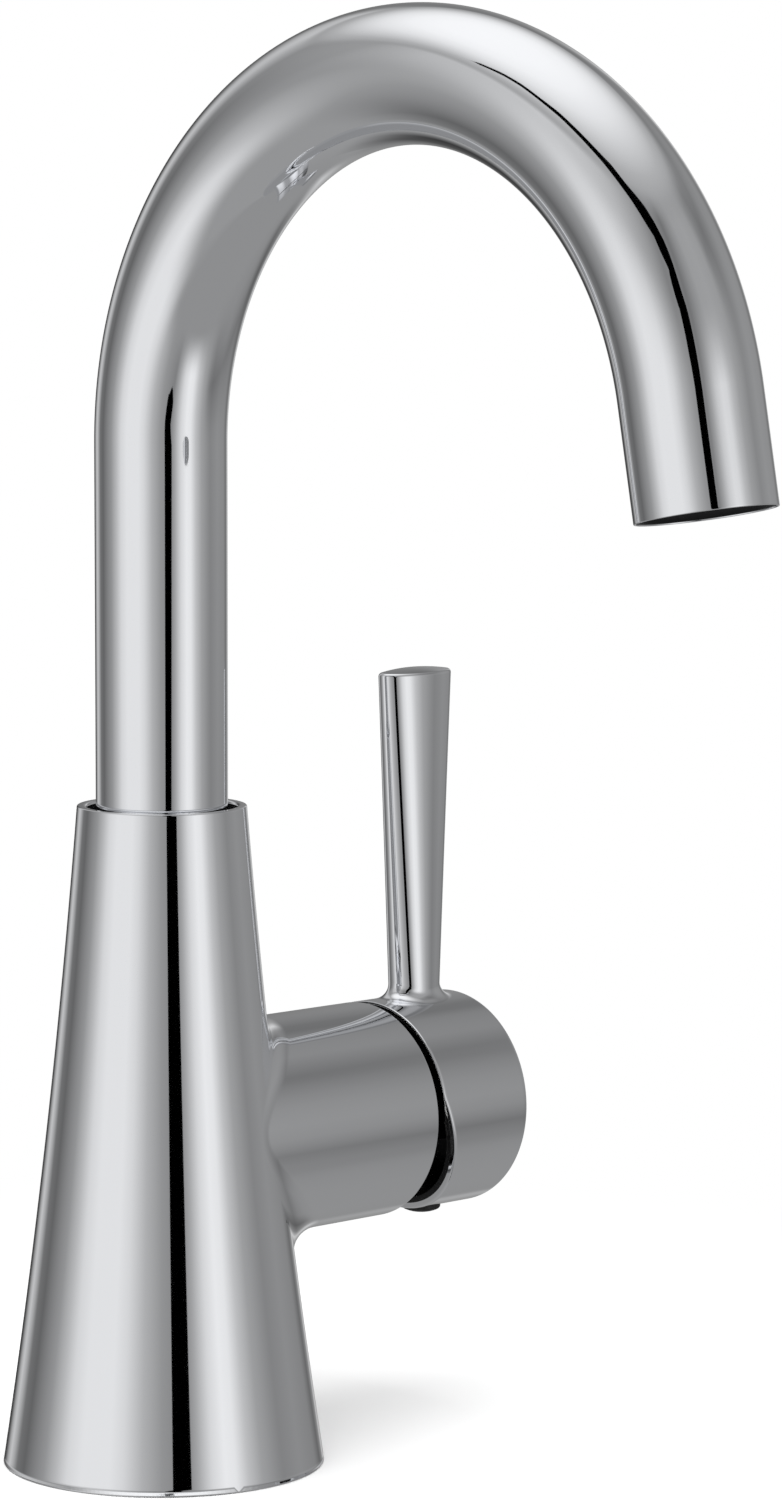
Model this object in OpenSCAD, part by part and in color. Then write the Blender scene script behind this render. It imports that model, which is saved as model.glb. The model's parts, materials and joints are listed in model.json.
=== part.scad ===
// Single-lever sink faucet: a tapered body with a side boss, a gooseneck spout
// that swivels in the collar, and a cap with a lever that tilts and turns.
// All lengths are millimetres. Z is up. The spout reaches towards -Y and the
// boss and its lever stand at +X. The origin is the centre of the foot, on the deck.

/* [Body] */
// Diameter of the foot on the deck
foot_d = 62.5; // [60:0.5:70]
// Height of the body, from the deck to the collar's rim
body_h = 128.5; // [124:0.5:150]
// How far the side is drawn in at mid height
waist_draw = 1.15; // [0.6:0.05:1.6]
// Wall of the shell
shell_wall = 2.5; // [2:0.1:2.9]
// Wall of the collar's rim
collar_wall = 1.8; // [1.4:0.1:2.6]
// Gap between the collar's rim and the spout
collar_gap = 1.85; // [1.5:0.05:2.6]
// Depth of the open recess in the collar
collar_recess = 3.6; // [2:0.2:6]

/* [Side boss] */
// Diameter of the boss, which the handle's cap repeats
boss_d = 43; // [42:0.5:46]
// Height of the boss's axis, as a share of the body's height
boss_share = 0.489; // [0.475:0.001:0.51]
// Distance from the body's axis to the boss's mouth
boss_reach = 54.1; // [52:0.1:60]
// Wall of the boss at its mouth
boss_wall = 1.85; // [1.4:0.05:2.2]

/* [Spout] */
// Outside diameter of the spout's tube
tube_d = 25.4; // [25:0.1:27]
// Wall of the spout's tube
tube_wall = 1.25; // [0.9:0.05:1.5]
// Height of the straight leg that shows above the collar
leg_h = 69.5; // [40:0.5:140]
// Radius of the bend, to the tube's centre line
bend_r = 68.7; // [45:0.1:90]
// Angle that the bend turns through
bend_angle = 169.1; // [150:0.1:180]
// Length of the straight end after the bend
end_len = 20.3; // [18:0.1:40]

/* [Handle cap] */
// Gap between the boss's mouth and the cap's rim
cap_gap = 1.7; // [1.2:0.1:3]
// Length of the cap
cap_len = 23.5; // [22.5:0.1:27]
// Wall of the cap
cap_wall = 2.4; // [1.8:0.1:2.8]
// Angle of the slanted cut that frees the lower rim when the lever tilts
relief_angle = 17.5; // [12:0.5:20]
// How far past the rim the slanted cut crosses the cap's axis
relief_step = 1.5; // [0.5:0.1:2]
// Radius of the cap's rounded end edge
cap_edge = 0.8; // [0.3:0.1:1.5]
// Diameter of the plug that covers the set screw
plug_d = 7.8; // [7.2:0.1:8.4]
// How far the plug stands out of the cap
plug_stand = 1.5; // [0.5:0.1:2]

/* [Lever] */
// Distance from the cap's end to the lever's axis
lever_inset = 11.2; // [10:0.1:12]
// Height of the lever's top above the boss's axis
lever_h = 86.5; // [60:0.5:110]
// Diameter of the lever at its foot
lever_foot_d = 10.2; // [8:0.1:12]
// Diameter of the lever at its top
lever_top_d = 14.1; // [10:0.1:16]
// Slant of the lever's top face
lever_slant = 3.4; // [0:0.1:8]
// Radius of the fillet at the lever's root
root_fillet = 3; // [1.5:0.1:4]

/* [Cartridge] */
// Step in the boss's bore, from the nut's thread down to the cartridge
nut_step = 2.25; // [2:0.05:2.5]
// Distance that the lever's pivot lies inside the boss's mouth
pivot_depth = 2.1; // [1:0.1:3]
// Largest tilt of the lever, from shut to full flow
tilt_max = 20; // [10:1:20]
// Length of the stem's inner arm, from the pivot to its ball
arm_len = 12; // [11.6:0.1:12.4]
// Radius of the three water ports in the discs and the seat
port_r = 3; // [2:0.1:3.4]

/* [Outlet] */
// Depth of the aerator inside the spout's end
outlet_recess = 1.6; // [0.5:0.1:4]
// Wall of the threaded sleeve in the spout's end
sleeve_wall = 1.1; // [0.8:0.1:1.5]
// Rings of holes round the middle hole of the aerator's screen
screen_rings = 3; // [2:1:3]

/* [Deck fixing] */
// Thickness of the deck that the faucet is clamped to
deck_t = 30; // [5:1:40]
// Diameter of the fixing stud
stud_d = 8; // [6:0.5:9]
// Length of the stud below the deck
stud_below = 32; // [26:1:60]
// Bore radius of the inlet threads for the supply hoses
inlet_r = 4.5; // [4:0.1:4.8]
// Length of the inlet threads
inlet_len = 12; // [8:0.5:14]

/* [Hidden] */
$fn = 96;

// Clearances that every fit shares
// Running fit of a part that turns or tilts in another
run_gap = 0.05;
// Clearance between parts that are put together once
fit_gap = 0.1;
// Air round a moving piece
air_gap = 0.3;
// Overrun that carries a cut through a face
over = 1;
// Radius that takes the sharpness off a rim
soft_edge = 0.35;
// Overrun of the spout's bend, which is trimmed off, and the hair by which the
// straight end is slimmer, so that its edge and the bend's never coincide
trim_angle = 8;
seam = 0.02;
// Straight pieces in a small round edge
edge_steps = 4;
// Conical bands that follow the curve of the body's side
side_bands = 9;

// Finishes
chrome_c = [0.78, 0.79, 0.81];
brass_c = [0.78, 0.63, 0.33];
steel_c = [0.62, 0.63, 0.65];
black_c = [0.08, 0.08, 0.09];
rubber_c = [0.14, 0.14, 0.15];
plastic_c = [0.86, 0.86, 0.83];
ceramic_c = [0.93, 0.93, 0.9];
stop_c = [0.72, 0.16, 0.14];

// Spout and collar
tube_r = tube_d / 2;
tube_bore_r = tube_r - tube_wall;
collar_bore_r = tube_r + collar_gap;
collar_r = collar_bore_r + collar_wall;
foot_r = foot_d / 2;
leg_top = body_h + leg_h;
boss_z = body_h * boss_share;
boss_r = boss_d / 2;
nut_bore_r = boss_r - boss_wall;
cart_r = nut_bore_r - nut_step;

// Inside of the shell, from the deck up
plate_t = 3;
gasket_t = 1.2;
plate_top = gasket_t + plate_t;
plate_bore_r = 16;
gasket_bore_r = 21;
foot_wall = 3.4;
ledge_t = 4;
ledge_w = 1.4;
flange_z = 15;
flange_t = 7;
rib_z = flange_z + flange_t;
rib_t = 8;
flange_air = 2;
column_r = 17.2;
// Metal that closes the cartridge's pocket from above
pocket_roof = 3;
column_top = boss_z + cart_r + pocket_roof;
tower_r = collar_bore_r - fit_gap;
// The bush stands on the manifold's tower and ends at the recess
bush_h = 10.5;
tower_top = body_h - collar_recess - bush_h;
// The shell's taper inside ends a little under the tower's top
collar_root = 2;
collar_foot_z = tower_top - collar_root;

// The shank that carries the spout in the manifold's socket
shank_step = 0.9;
shank_r = tube_bore_r - shank_step;
socket_r = shank_r + run_gap;
// Depth of the socket, as a share of the height free above the cartridge
socket_share = 0.77;
socket_depth = (tower_top - column_top) * socket_share;
shank_plug = 12;
shoulder_t = 1;
shank_bore_r = 6;
ring_r = 0.85;
// Pitch of the sealing rings, as a share of the socket's depth
ring_pitch_share = 0.29;
ring_pitch = socket_depth * ring_pitch_share;
clip_t = 1.6;
clip_in = 1.3;
clip_out = 0.8;
clip_depth = 4.5;
clip_z = tower_top - clip_depth;
tube_foot_z = tower_top + fit_gap + shoulder_t;

// Cartridge stations along the boss's axis, counted from the body's axis
// Radii of its rotor, neck and sliding disc, as shares of the cartridge's radius
rotor_share = 0.632;
neck_share = 0.776;
disc_share = 0.69;
cart_bore_r = cart_r + fit_gap;
pivot_x = boss_reach - pivot_depth;
seat_x = 8;
base_face_t = 3.6;
cart_wall = 1.9;
cart_cavity_r = cart_r - cart_wall;
rotor_r = cart_r * rotor_share;
neck_r = cart_r * neck_share;
neck_stand = 3;
neck_x = boss_reach + neck_stand;
nut_t = 6;
nut_slots = 6;
nut_slot_w = 4;
nut_slot_t = 2;
stop_t = 2;
skirt_t = 2.6;
skirt_in = 0.7;
skirt_x = boss_reach - skirt_in - skirt_t;
stop_x = skirt_x - stop_t;
nut_x = stop_x - nut_t;
shoulder_x = nut_x;
face_wall = 3;
cavity_x = shoulder_x - face_wall;
rotor_flange_t = 2.6;
rotor_flange_x = cavity_x - fit_gap - rotor_flange_t;
ball_x = pivot_x - arm_len;
ball_r = 2.8;
arm_r = 1.9;
carrier_t = 4.6;
carrier_x = rotor_flange_x - fit_gap - carrier_t;
disc_t = 4;
moving_x = carrier_x - disc_t;
fixed_x = moving_x - run_gap - disc_t;
moving_r = cart_r * disc_share;
// The lower disc slides by the ball's rise, half of it each side of the middle
slide_max = arm_len * sin(tilt_max);
disc_z = -slide_max / 2;
boss_half = 4;
ball_gap = 0.2;
// How far the carrier reaches past the ball's centre
socket_grip = 2.4;
socket_end_x = ball_x + socket_grip;
stem_half = 4;
slot_half = stem_half + air_gap;
pin_r = 1.5;
pin_inset = 0.5;
pin_len = 2 * (rotor_r - pin_inset);
shank_half = 3.5;
// The stem's thick block ends just outside the neck
block_stand = 1.4;
block_end_x = neck_x + block_stand;
// Half height of the rotor's slot, which clears the tilted block's corner
slot_z = (block_end_x - pivot_x) * sin(tilt_max) + stem_half * cos(tilt_max) + air_gap;
seal_w = 1.2;
seal_t = 1.3;

// Handle
cap_rim_x = boss_reach + cap_gap;
cap_end_x = cap_rim_x + cap_len;
cap_bore_r = boss_r - cap_wall;
cap_bevel = 2.0;
end_wall = 2.5;
lever_x = cap_end_x - lever_inset;
hub_r = 8.6;
hub_len = 13.4;
hub_x = cap_end_x - end_wall - hub_len;
insert_r = 6;
end_air = 0.8;
stem_end_x = cap_end_x - end_wall - end_air;
screw_offset = 2.4;
screw_x = lever_x + screw_offset;
screw_r = 2.5;
screw_len = 6;
key_r = 1.4;
key_depth = 2.5;
plug_r = plug_d / 2;
screw_boss_wall = 1.5;
screw_boss_r = plug_r + screw_boss_wall;
plug_in = 4.6;
lever_bury = 0.5;
// The root's fillet meets the round cap a little below its crest
root_sink = 0.8;
lever_edge = 0.5;

// Water ways: places of the ports about the boss's axis
// Shares of the cartridge's radius: the side ports' half pitch and drop, and the
// outlet port's rise
port_shares = [0.431, 0.287, 0.46];
side_port_y = cart_r * port_shares[0];
side_port_z = -cart_r * port_shares[1];
out_port_z = cart_r * port_shares[2];
inlet_x = -3;
inlet_y = 10;
stud_x = 11.5;
filter_t = 3;
filter_step = 0.6;
filter_r = inlet_r - filter_step;
filter_wall = 0.6;

// Deck fixing
stud_r = stud_d / 2;
washer_t = 3;
bracket_t = 3;
bracket_r = 26;
slot_w = 34;
slot_end_x = 5;
nut_h = 8;
nut_af_share = 1.625;
fixing_r = 2;
fixing_head_r = 3.5;
fixing_head_t = 2.5;
fixing_grip = 6;

// Outlet, measured up the tube from its end face
sleeve_len = 13;
sleeve_r = tube_bore_r - fit_gap / 2;
sleeve_bore_r = sleeve_r - sleeve_wall;
housing_r = sleeve_bore_r - fit_gap;
housing_wall = 1.3;
housing_len = 8.6;
housing_in = 0.6;
housing_z = outlet_recess + housing_in;
screen_t = 1.6;
screen_r = housing_r - housing_wall - fit_gap;
// Rim of the screen beyond its outer ring of holes, and a hole's radius, in pitches
screen_rim_share = 0.75;
screen_hole_share = 0.36;
screen_pitch = screen_r / (screen_rings + screen_rim_share);
regulator_t = 2.4;
regulator_in = 1;
jets = 6;
// Ring of jets and radius of a jet, as shares of the screen's radius
jet_ring_share = 0.6;
jet_hole_share = 0.16;
outlet_gasket_t = 1.4;
outlet_gasket_bore_share = 0.8;
key_slot_w = 2.2;
key_slots = 4;

// Radius of the body's outside at height z: a straight taper drawn in by a parabola
function side_r(z) = let (u = 1 - z / body_h)
    collar_r + (foot_r - collar_r) * u - waist_draw * 4 * u * (1 - u);
function bore_side_r(z) = side_r(z) - shell_wall;
// The manifold's flange fills the foot at the rib's height, less some air
flange_r = bore_side_r(rib_z) - flange_air;
// Points of the outside between two heights
function side_points(z0, z1, inset) = [for (i = [0:side_bands])
    let (z = z0 + (z1 - z0) * i / side_bands) [side_r(z) - inset, z]];
// Points of a round edge about c, from angle a0 to a1
function edge_points(c, r, a0, a1) = [for (i = [0:edge_steps])
    let (a = a0 + (a1 - a0) * i / edge_steps) [c[0] + r * cos(a), c[1] + r * sin(a)]];

// A rod along X between two stations, about the boss's axis
module rod_x(x0, x1, r) {
    translate([x0, 0, boss_z]) rotate([0, 90, 0]) cylinder(r = r, h = x1 - x0);
}

module ring_x(x0, x1, r_out, r_in) {
    difference() {
        rod_x(x0, x1, r_out);
        rod_x(x0 - over, x1 + over, r_in);
    }
}

// A block along X between two stations, with its half width and its Z span about the axis
module block_x(x0, x1, half_y, z0, z1) {
    translate([x0, -half_y, boss_z + z0]) cube([x1 - x0, 2 * half_y, z1 - z0]);
}

// A ring about the body's axis
module ring_z(z0, z1, r_out, r_in) {
    translate([0, 0, z0]) difference() {
        cylinder(r = r_out, h = z1 - z0);
        translate([0, 0, -over]) cylinder(r = r_in, h = z1 - z0 + 2 * over);
    }
}

// Turns a profile drawn as (radius, station) about the boss's axis
module turned_x() {
    translate([0, 0, boss_z]) rotate([0, 90, 0]) rotate_extrude() children();
}

// Turns the plane of a flat bend upright, about the centre of the spout's bend
module at_bend() {
    translate([0, -bend_r, leg_top]) rotate([90, 0, 90]) children();
}

// Puts a piece in the spout's end, where Z runs up the tube from the end face
module at_outlet() {
    at_bend() rotate([0, 0, bend_angle]) translate([bend_r, end_len, 0])
        rotate([90, 0, 0]) children();
}

module at_outlet_ring(z0, z1, r_out, r_in) {
    at_outlet() ring_z(z0, z1, r_out, r_in);
}

// The tapered shell with its boss
module shell_outside() {
    rotate_extrude() polygon(concat([[0, 0]],
        side_points(0, body_h - soft_edge, 0),
        edge_points([collar_r - soft_edge, body_h - soft_edge], soft_edge, 0, 90),
        [[0, body_h]]));
    turned_x() polygon(concat([[0, 0], [boss_r, 0]],
        edge_points([boss_r - soft_edge, boss_reach - soft_edge], soft_edge, 0, 90),
        [[0, boss_reach]]));
}

module shell_inside() {
    rotate_extrude() polygon(concat(
        [[0, -over], [foot_r - foot_wall, -over], [foot_r - foot_wall, plate_top],
            [foot_r - foot_wall - ledge_w, plate_top],
            [foot_r - foot_wall - ledge_w, plate_top + ledge_t]],
        [[bore_side_r(plate_top + ledge_t), plate_top + ledge_t],
            [bore_side_r(rib_z), rib_z], [column_r + fit_gap, rib_z],
            [column_r + fit_gap, rib_z + rib_t]],
        side_points(rib_z + rib_t, collar_foot_z, shell_wall),
        [[collar_bore_r, collar_foot_z], [collar_bore_r, body_h - soft_edge]],
        [[collar_bore_r + soft_edge, body_h], [collar_bore_r + soft_edge, body_h + over],
            [0, body_h + over]]));
}

module body_shell() {
    color(chrome_c) difference() {
        shell_outside();
        shell_inside();
        rod_x(0, shoulder_x, cart_bore_r);
        rod_x(shoulder_x, boss_reach + over, nut_bore_r);
        turned_x() polygon([[nut_bore_r - over, boss_reach - soft_edge - over],
            [nut_bore_r, boss_reach - boss_wall / 2],
            [nut_bore_r + boss_wall / 2, boss_reach],
            [nut_bore_r + boss_wall / 2, boss_reach + over],
            [nut_bore_r - over, boss_reach + over]]);
        fixing_places() translate([0, 0, rib_z - over])
            cylinder(r = fixing_r + fit_gap / 2, h = fixing_grip + over + fit_gap);
    }
}

// The two screws stand at the sides, midway between the column and the flange's edge
module fixing_places() {
    for (side = [-1, 1])
        translate([0, side * (column_r + flange_r) / 2, 0]) children();
}

module inlet_places() {
    for (side = [-1, 1]) translate([inlet_x, side * inlet_y, 0]) children();
}

module manifold_solid() {
    translate([0, 0, flange_z]) cylinder(r = flange_r, h = flange_t);
    translate([0, 0, flange_z]) cylinder(r = column_r, h = column_top - flange_z);
    translate([0, 0, flange_z]) cylinder(r = tower_r, h = tower_top - flange_z);
}

module manifold_water_ways() {
    inlet_places() translate([0, 0, flange_z - over])
        cylinder(r = inlet_r, h = inlet_len + over);
    inlet_places() translate([0, 0, flange_z + inlet_len - over])
        cylinder(r = filter_r, h = filter_t + over);
    // The risers stop level with the side ports, which run to the seat
    for (side = [-1, 1]) {
        translate([inlet_x, side * inlet_y, flange_z + inlet_len])
            cylinder(r = port_r, h = boss_z + side_port_z - flange_z - inlet_len);
        translate([inlet_x, side * inlet_y, boss_z + side_port_z]) sphere(r = port_r);
        translate([inlet_x, side * inlet_y, boss_z + side_port_z])
            rotate([0, 90, side * -atan((inlet_y - side_port_y) / (seat_x - inlet_x))])
                cylinder(r = port_r, h = seat_x - inlet_x + over);
    }
    translate([0, 0, boss_z + out_port_z]) rotate([0, 90, 0])
        cylinder(r = port_r, h = seat_x + over);
    translate([0, 0, boss_z + out_port_z]) cylinder(r = port_r, h = tower_top - boss_z);
}

module manifold() {
    color(brass_c) difference() {
        manifold_solid();
        rod_x(seat_x, cart_bore_r * 2, cart_bore_r);
        manifold_water_ways();
        translate([0, 0, tower_top - socket_depth])
            cylinder(r = socket_r, h = socket_depth + over);
        translate([0, 0, clip_z - fit_gap])
            cylinder(r = shank_r + clip_out + fit_gap, h = clip_t + 2 * fit_gap);
        translate([stud_x, 0, flange_z - over])
            cylinder(r = stud_r + fit_gap / 2, h = inlet_len + over);
        fixing_places() translate([0, 0, flange_z - over])
            cylinder(r = fixing_r + fit_gap, h = flange_t + 2 * over);
    }
}

module manifold_screws() {
    color(steel_c) fixing_places() difference() {
        union() {
            translate([0, 0, flange_z - fixing_head_t])
                cylinder(r = fixing_head_r, h = fixing_head_t);
            translate([0, 0, flange_z - fixing_head_t])
                cylinder(r = fixing_r, h = fixing_head_t + flange_t + fixing_grip);
        }
        translate([0, 0, flange_z - fixing_head_t - over])
            cylinder(r = fixing_r, h = fixing_head_t / 2 + over, $fn = 6);
    }
}

module base_plate() {
    color(plastic_c) ring_z(gasket_t, plate_top, foot_r - foot_wall - fit_gap, plate_bore_r);
}

module base_gasket() {
    color(rubber_c) ring_z(0, gasket_t, foot_r - foot_wall - fit_gap, gasket_bore_r);
}

module mounting_stud() {
    color(steel_c) translate([stud_x, 0, -deck_t - stud_below])
        cylinder(r = stud_r, h = stud_below + deck_t + flange_z + inlet_len - fit_gap);
}

// Horseshoe outline: a disc with an open slot for the supply hoses
module horseshoe(thick) {
    difference() {
        cylinder(r = bracket_r, h = thick);
        translate([slot_end_x - 2 * bracket_r, -slot_w / 2, -over])
            cube([2 * bracket_r, slot_w, thick + 2 * over]);
        translate([stud_x, 0, -over]) cylinder(r = stud_r + air_gap, h = thick + 2 * over);
    }
}

module rubber_washer() {
    color(rubber_c) translate([0, 0, -deck_t - washer_t]) horseshoe(washer_t);
}

module mounting_bracket() {
    color(steel_c) translate([0, 0, -deck_t - washer_t - bracket_t]) horseshoe(bracket_t);
}

module mounting_nut() {
    color(brass_c) translate([stud_x, 0, -deck_t - washer_t - bracket_t - nut_h])
        difference() {
            cylinder(r = stud_d * nut_af_share / sqrt(3), h = nut_h, $fn = 6);
            translate([0, 0, -over]) cylinder(r = stud_r + run_gap, h = nut_h + 2 * over);
        }
}

// Cup screens above the inlet threads
module inlet_filters() {
    color(steel_c) inlet_places() translate([0, 0, flange_z + inlet_len]) difference() {
        cylinder(r = filter_r - fit_gap, h = filter_t);
        translate([0, 0, -over])
            cylinder(r = filter_r - fit_gap - filter_wall, h = filter_t + over - filter_wall);
    }
}

// The bush that the spout turns in, seated on the tower inside the collar
module swivel_bush() {
    color(chrome_c) ring_z(tower_top, tower_top + bush_h, collar_bore_r - fit_gap,
        tube_r + run_gap);
}

module cartridge_body() {
    color(plastic_c) difference() {
        union() {
            rod_x(seat_x + base_face_t, shoulder_x, cart_r);
            rod_x(shoulder_x, neck_x, neck_r);
        }
        rod_x(seat_x + base_face_t - over, cavity_x, cart_cavity_r);
        rod_x(cavity_x - over, neck_x + over, rotor_r + run_gap);
    }
}

module port_places() {
    for (side = [-1, 1])
        translate([0, side * side_port_y, boss_z + side_port_z]) children();
    translate([0, 0, boss_z + out_port_z]) children();
}

module port_holes(x0, x1) {
    port_places() translate([x0 - over, 0, 0]) rotate([0, 90, 0])
        cylinder(r = port_r, h = x1 - x0 + 2 * over);
}

module cartridge_base() {
    color(plastic_c) difference() {
        union() {
            rod_x(seat_x + fit_gap, seat_x + base_face_t, cart_r);
            rod_x(seat_x + fit_gap, fixed_x, cart_cavity_r - fit_gap);
        }
        port_holes(seat_x, fixed_x);
        port_places() translate([seat_x - over, 0, 0]) rotate([0, 90, 0])
            cylinder(r = port_r + seal_w + fit_gap, h = over + seal_t);
    }
}

module cartridge_seals() {
    color(rubber_c) port_places() translate([seat_x, 0, 0]) rotate([0, 90, 0])
        difference() {
            cylinder(r = port_r + seal_w, h = seal_t);
            translate([0, 0, -over]) cylinder(r = port_r, h = seal_t + 2 * over);
        }
}

module fixed_disc() {
    color(ceramic_c) difference() {
        rod_x(fixed_x, fixed_x + disc_t, cart_cavity_r - fit_gap);
        port_holes(fixed_x, fixed_x + disc_t);
    }
}

// The nut that holds the cartridge, with slots for its spanner
module retaining_nut() {
    color(brass_c) difference() {
        ring_x(nut_x, nut_x + nut_t, nut_bore_r - fit_gap, neck_r + fit_gap);
        for (i = [0:nut_slots - 1])
            translate([nut_x + nut_t - nut_slot_t, 0, boss_z])
                rotate([i * 360 / nut_slots, 0, 0])
                    translate([0, -nut_slot_w / 2, (neck_r + nut_bore_r) / 2])
                        cube([nut_slot_t + over, nut_slot_w, nut_bore_r]);
    }
}

// The ring that limits the hot side, with its finger tab
module temperature_stop() {
    color(stop_c) {
        ring_x(stop_x, stop_x + stop_t, (neck_r + nut_bore_r) / 2, neck_r + fit_gap);
        translate([stop_x, -nut_slot_w / 2, boss_z + neck_r + fit_gap + stop_t / 2])
            cube([stop_t, nut_slot_w, nut_bore_r - neck_r - stop_t]);
    }
}

// The black cover in the boss's mouth
module dust_skirt() {
    color(black_c) turned_x() polygon([[neck_r + fit_gap, skirt_x],
        [nut_bore_r - fit_gap, skirt_x], [nut_bore_r - fit_gap, skirt_x + skirt_t / 2],
        [neck_r + fit_gap + stop_t, skirt_x + skirt_t],
        [neck_r + fit_gap, skirt_x + skirt_t]]);
}

module cartridge_rotor() {
    color(plastic_c) difference() {
        union() {
            rod_x(rotor_flange_x, rotor_flange_x + rotor_flange_t, cart_cavity_r - fit_gap);
            rod_x(rotor_flange_x, neck_x, rotor_r);
        }
        // Slot for the tilting stem, open at the front
        block_x(socket_end_x + air_gap, neck_x + over, slot_half, -slot_z, slot_z);
        // Slot for the carrier's boss, open at the back
        block_x(rotor_flange_x - over, socket_end_x + air_gap + over / 2, slot_half,
            -boss_half - air_gap, boss_half + slide_max + air_gap);
        translate([pivot_x, 0, boss_z]) rotate([90, 0, 0])
            cylinder(r = pin_r + run_gap / 2, h = 2 * rotor_r + 2 * over, center = true);
    }
}

module pivot_pin() {
    color(steel_c) translate([pivot_x, 0, boss_z]) rotate([90, 0, 0])
        cylinder(r = pin_r, h = pin_len, center = true);
}

module lower_disc(x0, x1) {
    translate([x0, 0, boss_z + disc_z]) rotate([0, 90, 0])
        cylinder(r = moving_r, h = x1 - x0);
}

// The sliding disc has one pocket that joins the ports as it moves
module moving_disc() {
    color(ceramic_c) difference() {
        lower_disc(moving_x, moving_x + disc_t);
        translate([moving_x - over, 0, boss_z + disc_z + out_port_z / 2])
            rotate([0, 90, 0]) cylinder(r = moving_r / 2, h = disc_t / 2 + over);
    }
}

module disc_carrier() {
    color(black_c) difference() {
        union() {
            lower_disc(carrier_x, carrier_x + carrier_t);
            block_x(carrier_x, socket_end_x, boss_half, -boss_half, boss_half);
        }
        rod_x(ball_x - ball_r - air_gap, socket_end_x + over, ball_r + ball_gap);
    }
}

module cartridge_stem() {
    color(steel_c) difference() {
        union() {
            translate([ball_x, 0, boss_z]) sphere(r = ball_r);
            rod_x(ball_x, pivot_x - stem_half, arm_r);
            block_x(pivot_x - stem_half - over, block_end_x, stem_half, -stem_half, stem_half);
            block_x(block_end_x - over, stem_end_x, shank_half, -shank_half, shank_half);
        }
        translate([pivot_x, 0, boss_z]) rotate([90, 0, 0])
            cylinder(r = pin_r + run_gap, h = 2 * stem_half + 2 * over, center = true);
    }
}

// The cup of the handle, with its slanted lower rim
module cap_solid() {
    difference() {
        turned_x() polygon(concat([[0, cap_rim_x], [boss_r, cap_rim_x]],
            edge_points([boss_r - cap_edge, cap_end_x - cap_edge], cap_edge, 0, 90),
            [[0, cap_end_x]]));
        turned_x() polygon([[0, cap_rim_x - over], [boss_r - soft_edge + over, cap_rim_x - over],
            [boss_r - soft_edge, cap_rim_x], [cap_bore_r, cap_rim_x + cap_bevel],
            [cap_bore_r, cap_end_x - end_wall], [0, cap_end_x - end_wall]]);
    }
    rod_x(hub_x, cap_end_x - end_wall / 2, hub_r);
    translate([screw_x, 0, boss_z - cap_bore_r - cap_wall / 2])
        cylinder(r = screw_boss_r, h = cap_bore_r);
}

// The lever: a slim cone that widens upwards, with a concave root. A blunt cone
// about the slanted axis cuts its top face and takes the edge off it.
module lever_solid() {
    foot = lever_foot_d / 2;
    top = lever_top_d / 2;
    translate([lever_x, 0, boss_z]) intersection() {
        rotate_extrude() difference() {
            polygon([[0, cap_bore_r + lever_bury],
                [foot + root_fillet, cap_bore_r + lever_bury],
                [foot + root_fillet, boss_r - root_sink + root_fillet],
                [foot, boss_r - root_sink + root_fillet],
                [top, lever_h], [top, lever_h + top], [0, lever_h + top]]);
            translate([foot + root_fillet, boss_r - root_sink + root_fillet])
                circle(r = root_fillet);
        }
        translate([0, 0, lever_h]) rotate([0, -lever_slant, 0]) translate([0, 0, -lever_h])
            cylinder(r1 = top + lever_h, r2 = top - lever_edge, h = lever_h);
    }
}

module handle() {
    color(chrome_c) difference() {
        union() {
            cap_solid();
            lever_solid();
        }
        // Slanted cut below the axis
        translate([cap_rim_x + relief_step, 0, boss_z]) rotate([0, -relief_angle, 0])
            translate([-boss_d, -boss_d, -2 * boss_d]) cube([boss_d, 2 * boss_d, 3 * boss_d]);
        rod_x(hub_x - over, stem_end_x + fit_gap, insert_r + fit_gap / 2);
        translate([screw_x, 0, boss_z - boss_d]) {
            cylinder(r = screw_r + run_gap, h = boss_d);
            cylinder(r = plug_r + fit_gap, h = boss_d - hub_r - over);
        }
    }
}

module handle_insert() {
    color(plastic_c) difference() {
        rod_x(hub_x, stem_end_x, insert_r);
        block_x(hub_x - over, stem_end_x + over, shank_half + fit_gap,
            -shank_half - fit_gap, shank_half + fit_gap);
        translate([screw_x, 0, boss_z - boss_d]) cylinder(r = screw_r + run_gap, h = boss_d);
    }
}

module set_screw() {
    color(steel_c) translate([screw_x, 0, boss_z - shank_half - screw_len]) difference() {
        cylinder(r = screw_r, h = screw_len);
        translate([0, 0, -over]) cylinder(r = key_r, h = key_depth + over, $fn = 6);
    }
}

module plug_button() {
    color(black_c) translate([screw_x, 0, boss_z - boss_r - plug_stand]) rotate_extrude()
        polygon(concat([[0, 0]], edge_points([plug_r - soft_edge * 2, soft_edge * 2],
            soft_edge * 2, -90, 0), [[plug_r, plug_stand + plug_in], [0, plug_stand + plug_in]]));
}

// A gooseneck of one radius: the straight leg, the bend and the straight end. The bend
// is turned a little too far and trimmed square where the straight end starts.
module gooseneck(r, leg_from, past) {
    translate([0, 0, leg_from]) cylinder(r = r, h = leg_top - leg_from);
    at_bend() difference() {
        rotate_extrude(angle = bend_angle + trim_angle) translate([bend_r, 0]) circle(r = r);
        rotate([0, 0, bend_angle]) translate([0, 0, -tube_d])
            cube([bend_r + tube_d, bend_r, 2 * tube_d]);
    }
    at_bend() rotate([0, 0, bend_angle]) translate([bend_r, 0, 0]) rotate([-90, 0, 0])
        cylinder(r = r - seam, h = end_len + past);
}

module spout_tube() {
    color(chrome_c) difference() {
        gooseneck(tube_r, tube_foot_z, 0);
        gooseneck(tube_bore_r, tube_foot_z - over, over);
    }
}

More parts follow.
